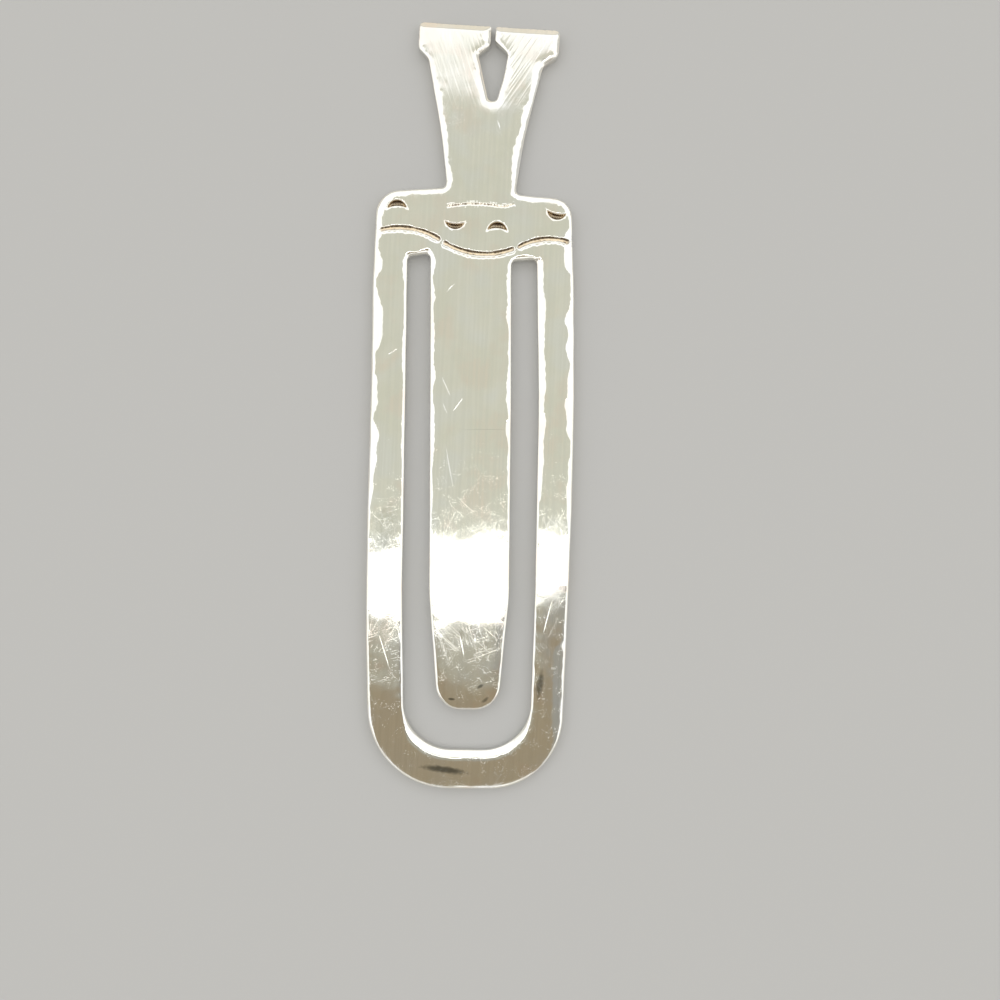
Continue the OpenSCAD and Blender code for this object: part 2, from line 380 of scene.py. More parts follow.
ARCS = [
    arc_between(on_plate(-0.985, 0.352), on_plate(-0.363, 0.215), 0.5, ARC_W, ARC_D, 0.0),
    arc_between(on_plate(-0.32, 0.175), on_plate(0.433, 0.09), -0.7, ARC_W, ARC_D, 1.1),
    arc_between(on_plate(0.478, 0.11), on_plate(1.01, 0.2), 0.45, ARC_W, ARC_D, 2.3),
]
LINES = [
    arc_between(on_plate(-0.28, 0.725), on_plate(0.235, 0.745), 0.18, LINE_W, LINE_D, 0.4),
    arc_between(on_plate(0.235, 0.745), on_plate(0.427, 0.773), -0.12, LINE_W, LINE_D, 1.7),
]
CRESCENTS = [
    Crescent(on_plate(-0.819, 0.696), 1, 2, 0.83, 0.7, CRESCENT_D),
    Crescent(on_plate(-0.201, 0.5), -1, -3, 0.83, 0.6, CRESCENT_D),
    Crescent(on_plate(0.251, 0.376), 1, -2, 0.83, 0.72, CRESCENT_D),
    Crescent(on_plate(0.882, 0.672), -1, -10, 0.83, 0.66, CRESCENT_D),
]


def arc_frame(arc, xy):
    """Each point's offset from the arc's line towards the finial, its place along it and how far past its
    ends it is."""
    d = xy - arc.centre
    reach = np.linalg.norm(d, axis=1)
    offset = (reach - arc.radius) * arc.side
    middle = (arc.start + arc.end) / 2
    angle = (np.arctan2(d[:, 1], d[:, 0]) - middle + math.pi) % (2 * math.pi) - math.pi
    half = (arc.end - arc.start) / 2
    past = (np.abs(angle) - half) * arc.radius
    return offset, angle * arc.radius, past


def arc_relief(arc, xy):
    """(height change, dark patina, warm patina) of a chased arc: a groove stepped by the tool, deepest along
    its steep upper wall, with a beaded shoulder on both sides."""
    offset, along, past = arc_frame(arc, xy)
    w = arc.width / 2
    fade = 1 - smoothstep((past + 0.14) / 0.3)
    uneven = np.sin(along * 2.3 + 3 * arc.phase) + 0.8 * np.sin(along * 5.3 + 5 * arc.phase)
    bead = np.abs(np.sin(math.pi * along / BEAD_STEP + arc.phase + 0.5 * uneven))
    fine_bead = np.abs(np.sin(math.pi * along / FINE_BEAD_STEP + 2 * arc.phase - 0.3 * uneven))
    coarse, quick = wave_field(77, 30, 0.35, 1.2), wave_field(78, 30, 0.22, 0.7)
    bead = np.clip(0.35 * bead + 0.35 + 0.4 * coarse(xy), 0, 1)
    fine_bead = np.clip(0.45 * fine_bead + 0.3 + 0.35 * quick(xy), 0, 1)
    u = offset / (w * (0.45 + 0.55 * fade) * (1 + 0.07 * uneven))
    floor_tilt = 0.6 + 0.4 * np.clip(u, -1, 1)
    wall_up = smoothstep((1 + 0.08 * fine_bead - u) / 0.34)
    wall_low = smoothstep((1 + u - 0.3 * bead) / 0.8)
    depth = arc.depth * wall_up * wall_low * floor_tilt * (1 + 0.12 * uneven) * (0.7 + 0.3 * bead) * fade
    shoulder_up = np.clip(1 - np.abs(u - 1) / (0.35 + 0.5 * fine_bead), 0, 1) * (u >= 1)
    shoulder_low = np.clip(1 - np.abs(u + 1) / (0.55 + 0.35 * bead), 0, 1) * (u <= -1)
    shoulder = shoulder_up**2 * (0.5 + 0.5 * fine_bead) + 1.1 * shoulder_low**2 * (0.5 + 0.5 * bead)
    shoulder = 0.036 * shoulder * (1 - smoothstep((past - 0.02) / 0.25))
    inner = 0.02 * ((u < 1) & (u > -1)) * fade
    dark = smoothstep((u - 0.52 + 0.16 * fine_bead + 0.08 * uneven) / 0.22) * (u < 1.1) * fade
    warm = smoothstep((u + 0.55 - 0.3 * bead) / 0.3) * (u < 1.1) * fade
    return -depth - shoulder - inner, dark * (0.75 + 0.25 * fine_bead), warm


def line_relief(arc, xy):
    """(height change, dark patina, warm patina) of a fine row of small punch marks between raised burrs."""
    offset, along, past = arc_frame(arc, xy)
    fade = 1 - smoothstep((past + 0.05) / 0.15)
    quick = wave_field(79, 30, 0.22, 0.8)
    dot = 0.3 * np.cos(2 * math.pi * along / DOT_STEP + arc.phase)
    dot = np.clip(0.45 + dot + 0.4 * quick(xy), 0, 1)
    u = offset / (arc.width / 2)
    pit = np.exp(-(((u - 0.25) / 0.42) ** 2)) * (0.3 + 0.7 * dot)
    uneven = 0.6 + 0.4 * np.sin(along * 3.1 + 4 * arc.phase)
    burr = np.exp(-(((u + 0.9 + 0.3 * dot) / 0.5) ** 2)) * (0.25 + 0.75 * dot)
    burr_up = np.exp(-(((u - 1.25) / 0.35) ** 2)) * (1 - 0.8 * dot) * uneven
    dark = 0.8 * smoothstep((pit - 0.35) / 0.3) * fade * (arc.side > 0)
    return arc.depth * fade * (0.4 * burr + 0.3 * burr_up - pit), dark, 0.6 * smoothstep(pit / 0.4) * fade


def crescent_relief(mark, xy):
    """(height change, dark patina, warm patina) of a punched crescent with ribbed walls."""
    t = math.radians(mark.tilt + (0 if mark.side > 0 else 180))
    d = xy - mark.at
    x = d[:, 0] * math.cos(t) + d[:, 1] * math.sin(t)
    y = -d[:, 0] * math.sin(t) + d[:, 1] * math.cos(t)
    h, rise = mark.half, mark.rise
    low = rise * 0.27
    back_r = (h * h + rise * rise) / (2 * rise)
    belly_r = (h * h + low * low) / (2 * low)
    under_back = back_r - np.hypot(x, y - (rise - back_r))
    over_belly = np.hypot(x, y - (low - belly_r)) - belly_r
    inside = np.minimum(under_back, over_belly)
    rib = 0.5 + 0.5 * np.sin(2 * math.pi * x / RIB_STEP + mark.tilt)
    belly_side = smoothstep((rise * 0.8 - y) / (rise * 0.4))
    burr = np.clip(0.5 + 0.5 * wave_field(80, 30, 0.25, 0.9)(xy), 0, 1)
    cut = smoothstep(inside / (0.1 + 0.1 * rib * belly_side))
    depth = mark.depth * cut * (0.85 + 0.15 * rib)
    reach = 0.08 + 0.13 * burr
    shoulder = 0.04 * np.clip((inside + reach) / reach, 0, 1) ** 2
    dark = smoothstep((inside - 0.01) / 0.04) * (1 - belly_side * (0.35 + 0.65 * rib))
    warm = smoothstep((inside + 0.01) / 0.04)
    return -depth - shoulder, dark, warm


def ornament(xy):
    """(height change, dark patina, warm patina) of all the marks together."""
    height = np.zeros(len(xy))
    dark = np.zeros(len(xy))
    warm = np.zeros(len(xy))
    for relief, marks in ((arc_relief, ARCS), (line_relief, LINES), (crescent_relief, CRESCENTS)):
        for mark in marks:
            h, d, w = relief(mark, xy)
            height += h
            dark = np.maximum(dark, d)
            warm = np.maximum(warm, w)
    return height, dark, warm


def mark_points():
    """Close-set points over the marks: rows that follow each arc and line, and a grid over each crescent."""
    out = []
    for arc in ARCS + LINES:
        reach = 0.42 if arc.width == ARC_W else 0.28
        rows = np.arange(-arc.width / 2 - reach, arc.width / 2 + reach, MARK_STEP)
        extra = 0.35 / arc.radius
        n = int((arc.end - arc.start + 2 * extra) * arc.radius / MARK_STEP)
        angle = np.linspace(arc.start - extra, arc.end + extra, n)
        for k, row in enumerate(rows):
            a = angle + (k % 2) * (angle[1] - angle[0]) / 2
            r = arc.radius + row * arc.side
            out.append(arc.centre + r * np.stack([np.cos(a), np.sin(a)], 1))
    for mark in CRESCENTS:
        side = np.arange(-1.15, 1.15, MARK_STEP * 0.85)
        gx, gy = np.meshgrid(side, np.arange(-1.0, 1.0, MARK_STEP * 0.85))
        near = np.hypot(gx / 1.15, gy / 1.0) < 1
        out.append(mark.at + np.stack([gx[near], gy[near]], 1))
    return np.vstack(out)


# ---------------------------------------------------------------- the mesh of the whole sheet


class SheetPoints:
    """Points of the sheet seen from above, each with its distance to the outline and its edge sizes."""

    def __init__(self):
        self.xy, self.inset, self.sizes = [], [], []

    def add(self, xy, inset, sizes):
        self.xy.append((float(xy[0]), float(xy[1])))
        self.inset.append(float(inset))
        self.sizes.append(sizes)
        return len(self.xy) - 1


def thinned(points, spacing, fixed):
    """The numbers of the points that are left when each one closer than spacing to one kept before it is
    dropped. The first fixed points all stay."""
    cell = {}
    kept = []
    for i, (x, y) in enumerate(points):
        cx, cy = int(math.floor(x / spacing)), int(math.floor(y / spacing))
        around = [(ax, ay) for ax in (cx - 1, cx, cx + 1) for ay in (cy - 1, cy, cy + 1)]
        near = [points[j] for spot in around for j in cell.get(spot, ())]
        if i < fixed or all((px - x) ** 2 + (py - y) ** 2 >= spacing * spacing for px, py in near):
            kept.append(i)
            cell.setdefault((cx, cy), []).append(i)
    return kept


def build_sheet():
    """The sheet seen from above: its outlines, its points with their insets and edge sizes, its outline
    edges and cut edges, then its triangles' points, the triangles, where each of those points comes from and
    the line over the serifs."""
    cuts = (NECK_CUT_Y, SEAM_Y)
    loops = [hand_sawn(resampled(loop), 40 + k) for k, loop in enumerate(sheet_loops())]
    out = SheetPoints()
    edges, crossings = [], []
    ring_columns, all_sizes, outlines = [], [], []
    for points in loops:
        ids = []
        chosen, sizes = columns(points, cuts)
        all_sizes += list(sizes)
        outlines.append(np.array([column.point for column in chosen]))
        for column in chosen:
            i = out.add(column.point, 0, column.sizes)
            ids.append(i)
            if column.cut is not None:
                crossings.append((column.cut, column.point[0], i, column))
            else:
                ring_columns.append(column)
        edges += [(a, b) for a, b in zip(ids, ids[1:] + ids[:1])]
    tree = KDTree(sum(len(p) for p in loops))
    for index, (x, y) in enumerate(np.vstack(loops)):
        tree.insert((x, y, 0), index)
    tree.balance()
    cut_edges = []
    for cut in cuts:
        across = sorted((c for c in crossings if c[0] == cut), key=lambda c: c[1])
        for left, right in zip(across[::2], across[1::2]):
            sizes_l, sizes_r = left[3].sizes, right[3].sizes
            width = right[1] - left[1]
            rings_l, rings_r = ring_insets(sizes_l), ring_insets(sizes_r)
            spots = [(r, r, sizes_l) for r in rings_l] + [(width - r, r, sizes_r) for r in rings_r]
            first, last = rings_l[-1], width - rings_r[-1]
            inner = np.linspace(first, last, max(3, int((last - first) / FACE_STEP)))[1:-1]
            spots += [(x, min(x, width - x), sizes_l) for x in inner]
            spots.sort(key=lambda spot: spot[0])
            line = [left[2]]
            for x, inset, sizes in spots:
                line.append(out.add((left[1] + x, cut), inset, sizes))
            line.append(right[2])
            cut_edges += [(cut, a, b) for a, b in zip(line, line[1:])]
    for column in ring_columns:
        for inset in ring_insets(column.sizes):
            p = column.point + column.normal * inset
            folded = tree.find((p[0], p[1], 0))[2] < 0.97 * inset
            if not folded and all(abs(p[1] - c) > CLEAR_OF_CUT for c in cuts):
                out.add(p, inset, column.sizes)
    fixed = len(out.xy)
    top_line = serif_top_line(loops)
    marks = np.vstack([mark_points(), chamfer_points(top_line)])
    lo = np.array([BOX["loop"][0].x, BOX["loop"][0].y])
    hi = np.array([BOX["loop"][1].x, TOP_Y])
    gx, gy = np.meshgrid(np.arange(lo[0], hi[0], FACE_STEP), np.arange(lo[1], hi[1], FACE_STEP * 0.87))
    gx[::2] += FACE_STEP / 2
    face = np.stack([gx.ravel(), gy.ravel()], 1)
    face += rng.uniform(-FACE_JITTER, FACE_JITTER, face.shape)
    face = face[distance_to(marks, face) > FACE_TO_MARKS]
    deep = []
    for group, margin in ((marks, None), (face, FACE_TO_CROWN)):
        for x, y in group:
            _, near, d = tree.find((x, y, 0))
            end = edge_ends(*all_sizes[near][:2])[2]
            if d > (CORNER_R if margin is None else end + CROWN_RINGS[-1] + margin):
                deep.append((float(x), float(y), d, all_sizes[near]))
    kept = thinned(list(out.xy) + [(p[0], p[1]) for p in deep], MARK_STEP * 0.55, fixed)
    for i in kept:
        if i >= fixed:
            x, y, d, sizes = deep[i - fixed]
            if all(abs(y - c) > CLEAR_OF_CUT for c in cuts):
                out.add((x, y), d, sizes)
    verts = [Vector(p) for p in out.xy]
    constraints = edges + [(a, b) for _, a, b in cut_edges]
    flat, _, tris, source, _, _ = delaunay_2d_cdt(verts, constraints, [], 1, 1e-7)
    return outlines, out, edges, cut_edges, flat, tris, source, top_line


def distance_to(points, queries):
    tree = KDTree(len(points))
    for i, (x, y) in enumerate(points):
        tree.insert((x, y, 0), i)
    tree.balance()
    return np.array([tree.find((x, y, 0))[2] for x, y in queries])


def inside_sheet(loops, xy):
    """Even-odd test of points against all the outlines."""
    inside = np.zeros(len(xy), bool)
    for loop in loops:
        a, b = loop, np.roll(loop, -1, 0)
        for (ax, ay), (bx, by) in zip(a, b):
            if ay == by:
                continue
            rows = (ay > xy[:, 1]) != (by > xy[:, 1])
            if rows.any():
                x = (bx - ax) * (xy[rows, 1] - ay) / (by - ay) + ax
                inside[rows] ^= xy[rows, 0] < x
    return inside


# right is 1 for the right limb, -1 for the left limb and 0 for the tongue.
Sag = namedtuple("Sag", "right tilt y length")
SAGS = [
    Sag(1, 0.022, -17.4, 4.4),
    Sag(1, -0.005, -8.5, 3.0),
    Sag(-1, -0.009, -11.2, 2.2),
    Sag(-1, 0.005, -18.0, 3.0),
    Sag(0, -0.003, -10.5, 2.5),
]
OUTER_FALL, OUTER_FALL_X = 0.055, 6.85
OUTER_FALL_Y = (-29, -19.3)


def limb_sag(xy):
    """The slight sags that years of use left along the right limb, the left limb and the tongue, with the
    right limb's outer rim falling away low down."""
    height = np.zeros(len(xy))
    on_tongue = (np.abs(xy[:, 0]) < SLOT_X) & (xy[:, 1] > TIP_Y - 0.4)
    for sag in SAGS:
        across = smoothstep((sag.right * xy[:, 0] + 6) / 12)
        share = np.where(on_tongue, sag.right == 0, across * (sag.right != 0))
        wave = np.tanh((xy[:, 1] - sag.y) / sag.length) - 1
        height += sag.tilt * sag.length * wave * share
    low_end, high_end = OUTER_FALL_Y
    lower = smoothstep((high_end - xy[:, 1]) / 1.2) * smoothstep((xy[:, 1] - low_end) / 3)
    return height - OUTER_FALL * lower * np.clip(xy[:, 0] - OUTER_FALL_X, 0, None)


def zone_of(x, y):
    if y > NECK_CUT_Y:
        return "finial"
    if y > SEAM_Y:
        return "shoulder_plate"
    return "tongue" if abs(x) < SLOT_X and y > TIP_Y - 0.6 else "loop"


def sheet_meshes():
    """Each node's vertices, faces, sharp end-cap faces and dark and warm patina, cut from the one sheet."""
    outlines, pts, edges, cut_edges, flat, tris, source, top_line = build_sheet()
    xy = np.array([(v.x, v.y) for v in flat])
    first = [s[0] for s in source]
    inset, sizes = np.array(pts.inset)[first], np.array(pts.sizes)[first]
    new_id = {old: i for i, s in enumerate(source) for old in s}
    tris = [tuple(t) for t in tris]
    centre = np.array([(xy[a] + xy[b] + xy[c]) / 3 for a, b, c in tris])
    keep = inside_sheet(outlines, centre)
    swell, ripple = wave_field(3, 22, 3.0, 9), wave_field(5, 30, 0.8, 2.2)
    dents = wave_field(8, 40, 0.5, 1.8)
    near_edge = np.exp(-(((inset - EDGE_RIPPLE_INSET) / EDGE_RIPPLE_W) ** 2))
    ends = edge_ends(*sizes.T[:2])[2]
    crown = CROWN_DROP * np.exp(-np.clip(inset - ends, 0, None) / CROWN_FADE)
    face_z = FACE_SWELL * swell(xy) + FACE_RIPPLE * ripple(xy) + limb_sag(xy)
    face_z += EDGE_RIPPLE * (0.25 + 0.75 * worn(xy)) * near_edge * dents(xy)
    marks, dark, warm = ornament(xy)
    filed = np.maximum(edge_drop(inset, sizes), chamfer_drop(top_line, inset, xy))
    top = SHEET_T - filed - crown + face_z + marks
    back_run = np.clip(1 - inset / BACK_R, 0, 1)
    back = BACK_R * (1 - np.sqrt(1 - back_run**2))
    out = {}
    for node in NODES:
        out[node] = {"used": {}, "verts": [], "faces": [], "caps": [], "dark": [], "warm": []}

    def vertex(node, i, is_top):
        piece = out[node]
        key = (i, is_top)
        if key not in piece["used"]:
            piece["used"][key] = len(piece["verts"])
            z = top[i] if is_top else back[i]
            piece["verts"].append((xy[i][0] * MM, xy[i][1] * MM, z * MM))
            piece["dark"].append(float(dark[i]) if is_top else 0.0)
            piece["warm"].append(float(warm[i]) if is_top else 0.0)
        return piece["used"][key]

    def wall(node, a, b):
        """The upright face under the edge from a to b, with its front to the edge's right."""
        return [vertex(node, b, True), vertex(node, a, True), vertex(node, a, False), vertex(node, b, False)]

    zones = {}
    for k, t in enumerate(tris):
        if not keep[k]:
            continue
        node = zone_of(*centre[k])
        a, b, c = t
        (ax, ay), (bx, by), (cx, cy) = xy[a], xy[b], xy[c]
        if (bx - ax) * (cy - ay) - (by - ay) * (cx - ax) < 0:
            a, c = c, a
        out[node]["faces"].append([vertex(node, i, True) for i in (a, b, c)])
        out[node]["faces"].append([vertex(node, i, False) for i in (c, b, a)])
        for e in ((a, b), (b, c), (c, a)):
            zones[e] = node
    for a, b in edges:
        a, b = new_id[a], new_id[b]
        node = zones.get((a, b))
        if node:
            out[node]["faces"].append(wall(node, a, b))
    for _, a, b in cut_edges:
        a, b = new_id[a], new_id[b]
        for p, q in ((a, b), (b, a)):
            node = zones[(p, q)]
            out[node]["caps"].append(len(out[node]["faces"]))
            out[node]["faces"].append(wall(node, p, q))
    return out


def piece_object(name, made):
    mesh = bpy.data.meshes.new(name)
    mesh.from_pydata(made["verts"], [], made["faces"])
    mesh.update()
    for key in ("dark", "warm"):
        layer = mesh.attributes.new(key, "FLOAT", "POINT")
        layer.data.foreach_set("value", made[key])
    place = mesh.attributes.new("place", "FLOAT_VECTOR", "POINT")
    place.data.foreach_set("vector", [value for vertex in made["verts"] for value in vertex])
    mesh.polygons.foreach_set("use_smooth", [True] * len(mesh.polygons))
    caps = set(made["caps"])
    cap_edges = {tuple(sorted(k)) for i in caps for k in mesh.polygons[i].edge_keys}
    for edge in mesh.edges:
        edge.use_edge_sharp = tuple(sorted(edge.vertices)) in cap_edges
    obj = bpy.data.objects.new(name, mesh)
    bpy.context.scene.collection.objects.link(obj)
    return obj


# ---------------------------------------------------------------- materials


class Nodes:
    """Short calls to make and join shader nodes."""

    def __init__(self, tree):
        self.tree = tree

    def add(self, kind, inputs=None, **settings):
        node = self.tree.nodes.new(kind)
        for key, value in settings.items():
            setattr(node, key, value)
        for key, value in (inputs or {}).items():
            self.put(node.inputs[key], value)
        return node

    def put(self, socket, value):
        if isinstance(value, bpy.types.NodeSocket):
            self.tree.links.new(value, socket)
        else:
            socket.default_value = value

    def math(self, operation, a, b=0.0, clamp=False):
        return self.add("ShaderNodeMath", {0: a, 1: b}, operation=operation, use_clamp=clamp).outputs[0]

    def ramp(self, value, low, high, a=0.0, b=1.0):
        inputs = {"Value": value, "From Min": low, "From Max": high, "To Min": a, "To Max": b}
        return self.add("ShaderNodeMapRange", inputs, interpolation_type="SMOOTHSTEP").outputs["Result"]

    def mix(self, share, a, b):
        node = self.add("ShaderNodeMix", data_type="RGBA")
        self.put(node.inputs[0], share)
        self.put(node.inputs[6], a)
        self.put(node.inputs[7], b)
        return node.outputs[2]

    def noise(self, vector, scale, detail=2.0, roughness=0.5):
        inputs = {"Vector": vector, "Scale": scale, "Detail": detail, "Roughness": roughness}
        return self.add("ShaderNodeTexNoise", inputs).outputs["Fac"]

    def strokes(self, vector, angle, across, along, offset=0.0):
        """Noise drawn out into strokes: across and along are a stroke's width and length in metres."""
        inputs = {
            "Vector": vector,
            "Location": (offset, offset * 0.7, 0),
            "Rotation": (0, 0, math.radians(angle)),
            "Scale": (along, across, along),
        }
        mapped = self.add("ShaderNodeMapping", inputs, vector_type="TEXTURE").outputs["Vector"]
        return self.noise(mapped, 1.0, 0.0)


SILVER = (0.955, 0.945, 0.9)
WARM_OXIDE = (0.78, 0.62, 0.4, 1)
DARK_OXIDE = (0.06, 0.035, 0.02, 1)
# Color of the dark spots: painted dark reflection, and tarnish.
PAINTED_REFLECTION_AND_TARNISH = (0.2, 0.21, 0.2, 1)
STROKES_FROM = 1.0
# Strokes are in metres. Scores and the dark spots are in millimetres.
Stroke = namedtuple("Stroke", "angle across along level")
SCRATCHES = [
    Stroke(83, 0.00008, 0.012, 0.69),
    Stroke(107, 0.00008, 0.008, 0.7),
    Stroke(63, 0.00008, 0.006, 0.71),
    Stroke(138, 0.00006, 0.0035, 0.745),
    Stroke(20, 0.00006, 0.0025, 0.755),
]
Score = namedtuple("Score", "x y length angle width")
SCORES = [
    Score(-2.13, 1.5, 1.9, -65, 0.045),
    Score(-2.23, -0.3, 1.1, -68, 0.055),
    Score(-1.1, 0.0, 1.1, 54, 0.045),
    Score(-1.8, -5.1, 3.6, -79, 0.05),
    Score(-1.85, 9.75, 0.75, 46, 0.045),
    Score(-6.6, 4.35, 0.7, 32, 0.045),
    Score(2.0, 23.4, 0.5, -72, 0.05),
    Score(-0.52, -20.0, 1.25, -78, 0.06),
    Score(-7.0, -20.6, 1.75, -72, 0.04),
    Score(6.55, -17.7, 1.9, 76, 0.045),
    Score(0.55, -19.3, 0.6, 90, 0.05),
]
DarkSpot = namedtuple("DarkSpot", "x y length width angle strength")
# Dark spots on the polished face: painted dark reflections where the face shows dark, with some tarnish
# spots.
PAINTED_REFLECTIONS_AND_STAINS = [
    DarkSpot(-1.85, -30.45, 2.15, 0.34, -7, 0.9),
    DarkSpot(6.0, -23.3, 1.35, 0.34, 84, 0.75),
    DarkSpot(1.05, -23.45, 0.34, 0.17, 30, 0.75),
    DarkSpot(-1.35, -24.55, 0.34, 0.13, -5, 0.8),
    DarkSpot(1.45, -24.6, 0.4, 0.17, 40, 0.6),
    DarkSpot(-6.95, -10.3, 2.4, 1.1, 88, 0.2),
    DarkSpot(1.0, -2.05, 2.3, 0.06, 1, 0.1),
]


def ellipse_reach(n, place, spot):
    """Each point's distance from a spot's middle, 1 at its rim."""
    inputs = {
        "Vector": place,
        "Location": (spot.x * MM, spot.y * MM, 0),
        "Rotation": (0, 0, math.radians(spot.angle)),
        "Scale": (spot.length * MM, spot.width * MM, 1),
    }
    local = n.add("ShaderNodeMapping", inputs, vector_type="TEXTURE").outputs["Vector"]
    return n.add("ShaderNodeVectorMath", {0: local}, operation="LENGTH").outputs["Value"]


def painted_reflection_and_stain_share(n, place):
    """How dark the listed spots are at each point: painted dark reflections on the polished face, with some
    tarnish left by handling among them.
    """
    share = None
    edge = n.noise(place, 2600, 3.0, 0.6)
    for dark_spot in PAINTED_REFLECTIONS_AND_STAINS:
        reach = n.math("ADD", ellipse_reach(n, place, dark_spot), n.math("MULTIPLY", edge, 0.8))
        spot = n.ramp(reach, 0.75, 1.5, dark_spot.strength, 0.0)
        share = spot if share is None else n.math("MAXIMUM", share, spot)
    return share


def score_depth(n, place):
    """The long single scratches, 1 in the middle of each."""
    depth = None
    for score in SCORES:
        line = n.ramp(ellipse_reach(n, place, score), 1.0, 0.0, 0.0, 1.0)
        depth = line if depth is None else n.math("MAXIMUM", depth, line)
    return depth


def tinted(red=1.0, green=1.0, blue=1.0):
    """The silver's color, with each part of it changed by a factor."""
    return (SILVER[0] * red, SILVER[1] * green, SILVER[2] * blue, 1)


def use_scratches(n, place, patches, handled):
    """The fine scratches of use, strongest towards the bow, where the clip is handled."""
    scratch = None
    for k, stroke in enumerate(SCRATCHES):
        drawn = n.strokes(place, stroke.angle, stroke.across, stroke.along, STROKES_FROM + k * 3.1)
        line = n.ramp(drawn, stroke.level, stroke.level + 0.06)
        scratch = line if scratch is None else n.math("MAXIMUM", scratch, line)
    scratch = n.math("MULTIPLY", scratch, n.ramp(patches, 0.38, 0.6, 0.25, 1.0))
    return n.math("MULTIPLY", scratch, handled)


def polished_relief(n, place, patches, handled, scratch):
    """The polished face's fine height: scratches, mottle, polishing lines, scores, pits and speckle."""
    mottle = n.noise(place, 5200, 2.0, 0.6)
    fine = n.strokes(place, 84, 0.00012, 0.0016, STROKES_FROM + 20)
    pits = n.ramp(n.noise(place, 8500, 2.0, 0.5), 0.62, 0.7)
    pits = n.math("MULTIPLY", pits, n.math("MULTIPLY", handled, n.ramp(patches, 0.42, 0.6)))
    speckle = n.math("MULTIPLY", n.noise(place, 9500, 3.0, 0.65), n.math("MULTIPLY", handled, 0.3))
    relief = n.math("ADD", n.math("MULTIPLY", scratch, -0.3), n.math("MULTIPLY", mottle, 0.13))
    relief = n.math("ADD", relief, n.math("MULTIPLY", fine, 0.16))
    relief = n.math("SUBTRACT", relief, n.math("MULTIPLY", score_depth(n, place), 5.0))
    relief = n.math("SUBTRACT", relief, n.math("MULTIPLY", pits, 0.8))
    return n.math("ADD", relief, speckle)


def silver_color(n, place, clouds):
    """The silver's color, with clouds, a warm blush, cool patches and long streaks of polish."""
    color = n.mix(n.ramp(clouds, 0.35, 0.7), tinted(), tinted(0.95, 0.955, 0.93))
    blush = n.ramp(n.noise(place, 420, 2.0, 0.5), 0.5, 0.72)
    color = n.mix(n.math("MULTIPLY", blush, 0.5), color, tinted(1.0, 0.9, 0.86))
    cool = n.ramp(n.noise(place, 380, 1.0, 0.5), 0.52, 0.3)
    color = n.mix(n.math("MULTIPLY", cool, 0.5), color, tinted(0.96, 0.99, 1.07))
    polish = n.ramp(n.strokes(place, 88, 0.00022, 0.008, STROKES_FROM + 33), 0.3, 0.7, 0.0, 0.3)
    return n.mix(polish, color, tinted(0.88, 0.89, 0.89))


def with_oxide(n, place, color, dark, warm):
    """The color with the oxide that is left in the marks, and with the dark spots: painted dark reflections
    and some tarnish.
    """
    grain = n.noise(place, 9000, 2.0, 0.6)
    warm_share = n.math("MULTIPLY", warm, n.ramp(grain, 0.3, 0.65, 0.65, 0.95))
    color = n.mix(warm_share, color, WARM_OXIDE)
    dark_share = n.math("MULTIPLY", dark, n.ramp(grain, 0.25, 0.6, 0.85, 1.0), clamp=True)
    color = n.mix(dark_share, color, DARK_OXIDE)
    # Painted dark reflections and tarnish spots darken the color here.
    return n.mix(painted_reflection_and_stain_share(n, place), color, PAINTED_REFLECTION_AND_TARNISH)


def file_strokes(n, place, split):
    """The finial's file strokes, in a direction of their own on each prong, and how filed its face is."""
    share = n.ramp(split.outputs["Y"], (TOP_Y - 8.5) * MM, (TOP_Y - 3.2) * MM)
    right = n.ramp(split.outputs["X"], 1.2 * MM, 2.2 * MM)
    strokes = n.add("ShaderNodeMix", data_type="FLOAT")
    n.put(strokes.inputs[0], right)
    n.put(strokes.inputs[2], n.strokes(place, 108, 0.00022, 0.0028, 7.7))
    n.put(strokes.inputs[3], n.strokes(place, 56, 0.00022, 0.0028, 3.3))
    return n.math("MULTIPLY", n.ramp(strokes.outputs[0], 0.38, 0.62), share), share


def silver(name, filed):
    """Polished sterling silver with clouds, fine use scratches and, where filed, brushed file strokes."""
    material = bpy.data.materials.new(name)
    material.use_nodes = True
    material.node_tree.nodes.clear()
    n = Nodes(material.node_tree)
    place = n.add("ShaderNodeAttribute", attribute_name="place").outputs["Vector"]
    split = n.add("ShaderNodeSeparateXYZ", {"Vector": place})
    clouds = n.noise(place, 330, 3.0, 0.55)
    patches = n.noise(place, 900, 2.0, 0.5)
    handled = n.ramp(split.outputs["Y"], 2 * MM, -14 * MM, 0.5, 1.0)
    scratch = use_scratches(n, place, patches, handled)
    relief = polished_relief(n, place, patches, handled, scratch)
    roughness = n.math("ADD", n.ramp(clouds, 0.3, 0.7, 0.045, 0.075), n.math("MULTIPLY", scratch, 0.06))
    if filed:
        grooves, share = file_strokes(n, place, split)
        relief = n.math("ADD", relief, n.math("MULTIPLY", grooves, 3.2))
        roughness = n.math("ADD", roughness, n.math("MULTIPLY", share, 0.07))
    dark = n.add("ShaderNodeAttribute", attribute_name="dark").outputs["Fac"]
    warm = n.add("ShaderNodeAttribute", attribute_name="warm").outputs["Fac"]
    color = with_oxide(n, place, silver_color(n, place, clouds), dark, warm)
    roughness = n.math("ADD", roughness, n.math("MULTIPLY", dark, 0.3), clamp=True)
    bump = n.add("ShaderNodeBump", {"Height": relief, "Strength": 0.5, "Distance": 0.000003})
    shader = n.add(
        "ShaderNodeBsdfPrincipled",
        {"Base Color": color, "Metallic": 1.0, "Roughness": roughness, "Normal": bump.outputs["Normal"]},
    )
    output = n.add("ShaderNodeOutputMaterial")
    n.tree.links.new(shader.outputs["BSDF"], output.inputs["Surface"])
    return material


